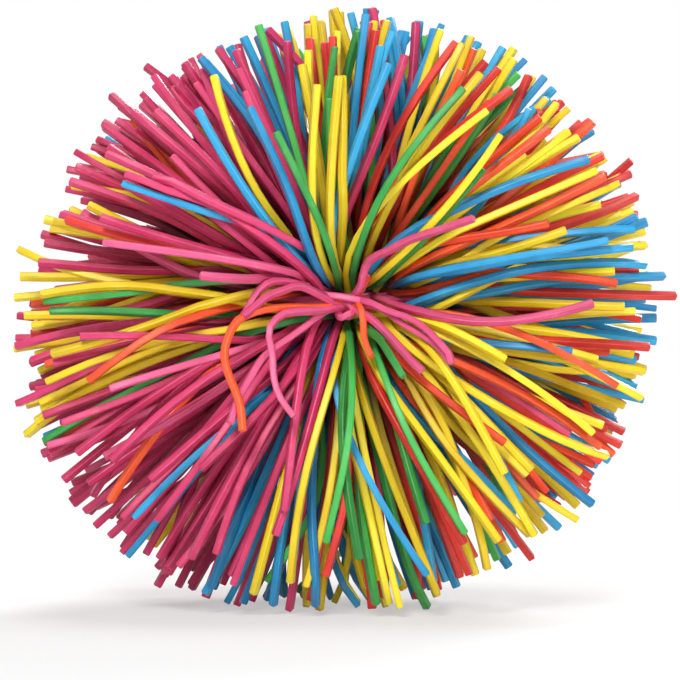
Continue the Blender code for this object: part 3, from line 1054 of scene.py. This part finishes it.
def rubberMaterial(colour):
    lit, deep = rubberColours[colour]
    pale = tuple((1 - rubber["paleShare"]) * channel + rubber["paleShare"] for channel in lit)
    graph = Graph(bpy.data.materials.new(f"{colour}Rubber"))
    spot = graph.node("ShaderNodeTexCoord", {}, {}, "Object")
    strip = graph.node("ShaderNodeUVMap", {"uv_map": "strip"})
    across = graph.node("ShaderNodeSeparateXYZ", {}, {0: strip})
    down = Signal(graph, across.socket.node.outputs[1])
    tone = graph.attribute("tone")
    cutEnd = graph.attribute("cutEnd")
    openTo = graph.attribute("openTo")
    edge = abs(across * 2 - 1)

    fineAcross, fineDown, differ = rubber["lines"]
    drag = {0: across * fineAcross, 1: down * fineDown, 2: tone * differ}
    lines = graph.noise(graph.node("ShaderNodeCombineXYZ", {}, drag), 1.0, 3.0)
    patches = graph.noise(spot, rubber["patches"])
    grain = graph.noise(spot, rubber["grain"])
    specks = graph.noise(spot, rubber["specks"], 3.0, 0.65)

    shade = (tone - 0.5) * rubber["toneShift"] + (patches - 0.5) * rubber["patchShift"]
    shade = shade + (lines - 0.5) * rubber["lineShift"] + rubber["shade"]
    # painted shade: the colour darkens towards the waist, where the strands crowd
    waistShade = 1 - graph.attribute("along").between(0.0, 0.55)
    shut = 1 - openTo.between(0.0, rubber["shadeBelow"])
    # painted shade: near black deep between the strands, where hardly any light gets in
    buriedShade = 1 - openTo.between(*rubber["buriedShadeFrom"])
    dust = specks.between(0.50, 0.78) * 0.6 + lines.between(0.55, 0.85) * 0.7
    dust = dust * patches.between(0.35, 0.7)
    # paler along the long edges: talc wear, and partly a painted edge highlight
    wearAndEdgeHighlight = edge.between(0.78, 1.0) * (0.4 + lines)
    colourNow = graph.mix(shade.between(0.0, 1.0), deep, lit)
    for share, other in (
        (waistShade * rubber["nearWaistShade"], deep),
        (shut * rubber["inShade"], darker(deep, rubber["shadeShare"])),
        (buriedShade * rubber["buriedShade"], darker(deep, rubber["buriedShadeShare"])),
        (dust * rubber["dust"], pale),
        (wearAndEdgeHighlight * rubber["edgeWearAndHighlight"] * (1 - cutEnd), pale),
        (cutEnd * rubber["cutPale"] * (0.5 + specks), pale),
    ):
        colourNow = graph.mix(share, colourNow, other)
    graph.shade("Base Color", colourNow)

    rough = rubber["roughness"] + dust * rubber["dustRoughness"]
    rough = rough + cutEnd * rubber["cutRoughness"] + (grain - 0.5) * rubber["grainRoughness"]
    graph.shade("Roughness", rough)
    graph.shade("Specular IOR Level", rubber["specular"])
    rounding = edge.between(0.62, 1.05) * (1 - cutEnd) * rubber["roundDepth"]
    height = lines * rubber["lineDepth"] + grain * rubber["grainDepth"]
    height = (height - rounding + cutEnd * specks * rubber["cutDepth"]) * mm
    bump = graph.node("ShaderNodeBump", {}, {"Strength": 1.0, "Distance": 1.0, "Height": height})
    graph.shade("Normal", bump)
    return graph.owner


# The build, piece by piece.

ends = strandEnds()
followPacked(ends)
placeByHand(ends)
colourTheRest(ends)
print("strands:", len(ends) // 2)

tieRoutes = [tieRoute(turn, tie["seed"] + index) for index, turn in enumerate(tie["turns"])]
knotRoutes = [knotRoute(spots) for _, _, _, spots in tie["atKnot"]]
tails = np.concatenate([line[line[:, 1] < -tie["outer"] - tie["tailClear"]] for line in tieRoutes])
paths = np.stack([endPath(end) for end in ends])
paths = layOver(ends, paths)
weights = np.array([1.0 if end["loose"] == 1 else strand["modelledMoves"] for end in ends])
placed = np.array([end["bow"] is not None for end in ends])
weights[placed] = laying["moves"]
rounds = settling["rounds"]
paths = settle(paths, weights, placed, np.concatenate(tieRoutes + knotRoutes), tails, rounds)
light = opennessOf(paths)
print("strands settled, openness", round(float(light.mean()), 3))

materials = {colour: rubberMaterial(colour) for colour in rubberColours}

routes = {}  # of each node's strands, and of the odd ones of each colour
for index in range(0, len(ends), 2):
    above = ends[index]
    own = above["colour"] == above["cell"]["colour"]
    group = above["cell"]["name"] if own else f"odd_{above['colour']}"
    route = strandRoute(above, paths[index:index + 2], light[index:index + 2])
    routes.setdefault(group, []).append(route)
for index, (turn, line) in enumerate(zip(tie["turns"], tieRoutes)):
    route = tieStrand(line, tie["tone"] + tie["toneStep"] * index, tie["spinStep"] * index)
    routes.setdefault(turn["name"], []).append(route)
for (group, tone, spin, _), line in zip(tie["atKnot"], knotRoutes):
    routes[group].append(tieStrand(line, tone, spin))

for group, lines in routes.items():
    colour = next(word for word in group.split("_") if word in rubberColours)
    piece = sweepPiece(f"{group}_strands", lines)
    piece.data.materials.append(materials[colour])
    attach(piece, "root")
    if not group.startswith("odd_"):
        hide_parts(group)
print("pieces made:", len(routes))


# Floor, light and camera.

stage = {
    "floorSize": 4.0,
    "floorColour": (0.9, 0.9, 0.9),
    "floorRoughness": 0.9,
    "floorSpecular": 0.1,
    "whiteNear": 0.45,  # how white the floor looks under the ball, and where this turns to full
    "whiteFrom": 0.03,
    "whiteTo": 0.16,
    "cameraDistance": 0.60,
    "elevation": math.radians(2.5),
    "fieldWidth": 68.76 * mm,  # of the picture, at the ball's middle
    "aim": Vector((-0.5 * mm, 0, 27.0 * mm)),
    "softLight": 0.11,  # from all round
    "white": (1.0, 1.0, 1.0),
    # each lamp's place, size and power
    "lamps": {
        "keyLamp": ((-0.11, -0.50, 0.37), 0.18, 2.75),
        "fillLamp": ((0.30, -0.52, 0.12), 0.24, 1.0),
        "topLamp": ((0.0, 0.10, 0.62), 0.30, 1.4),
        "backLamp": ((0.22, 0.50, 0.34), 0.30, 3.9),
    },
}


def whiteRays(graph):  # from the camera and off glossy things, which see a white background
    camera, glossy, clear = (
        graph.node("ShaderNodeLightPath", {}, {}, kind)
        for kind in ("Is Camera Ray", "Is Glossy Ray", "Is Transmission Ray")
    )
    return camera.math("MAXIMUM", glossy).math("MAXIMUM", clear)


def makeFloor():
    bm = bmesh.new()
    bmesh.ops.create_circle(bm, cap_ends=True, segments=64, radius=stage["floorSize"])
    floor = addMesh("floor", bm)
    graph = Graph(bpy.data.materials.new("floorPaper"))
    spot = graph.node("ShaderNodeTexCoord", {}, {}, "Object")
    away = graph.node("ShaderNodeVectorMath", {"operation": "LENGTH"}, {0: spot}, "Value")
    fade = away.between(stage["whiteFrom"], stage["whiteTo"])
    share = whiteRays(graph) * partWay(stage["whiteNear"], 1, fade)
    glow = graph.node("ShaderNodeEmission", {}, {"Color": stage["white"], "Strength": 1.0})
    graph.shade("Base Color", stage["floorColour"])
    graph.shade("Roughness", stage["floorRoughness"])
    graph.shade("Specular IOR Level", stage["floorSpecular"])
    paper = Signal(graph, graph.shader.outputs[0])
    mixed = graph.node("ShaderNodeMixShader", {}, {0: share, 1: paper, 2: glow})
    graph.feed(graph.tree.nodes["Material Output"].inputs["Surface"], mixed)
    floor.data.materials.append(graph.owner)


def addLamp(name, place, size, power):
    lamp = bpy.data.lights.new(name, "AREA")
    lamp.shape = "DISK"
    lamp.size = size
    lamp.energy = power
    made = addObject(name, lamp)
    made.location = place
    made.rotation_euler = (ball["centre"] - Vector(place)).to_track_quat("-Z", "Y").to_euler()


def makeWorld():
    graph = Graph(bpy.data.worlds.new("studio"))
    soft, white = (
        graph.node("ShaderNodeBackground", {}, {"Color": stage["white"], "Strength": strength})
        for strength in (stage["softLight"], 1.0)
    )
    mixed = graph.node("ShaderNodeMixShader", {}, {0: whiteRays(graph), 1: soft, 2: white})
    graph.feed(graph.tree.nodes["World Output"].inputs["Surface"], mixed)
    bpy.context.scene.world = graph.owner


def makeCamera():
    camera = bpy.data.cameras.new("camera")
    made = addObject("camera", camera)
    back = Vector((0, -math.cos(stage["elevation"]), math.sin(stage["elevation"])))
    made.location = stage["aim"] + back * stage["cameraDistance"]
    made.rotation_euler = (-back).to_track_quat("-Z", "Y").to_euler()
    camera.lens = camera.sensor_width * stage["cameraDistance"] / stage["fieldWidth"]
    camera.clip_start = 0.01
    bpy.context.scene.camera = made


makeFloor()
makeWorld()
for name, (place, size, power) in stage["lamps"].items():
    addLamp(name, place, size, power)
makeCamera()
bpy.context.scene.view_settings.view_transform = "Standard"

print("done")
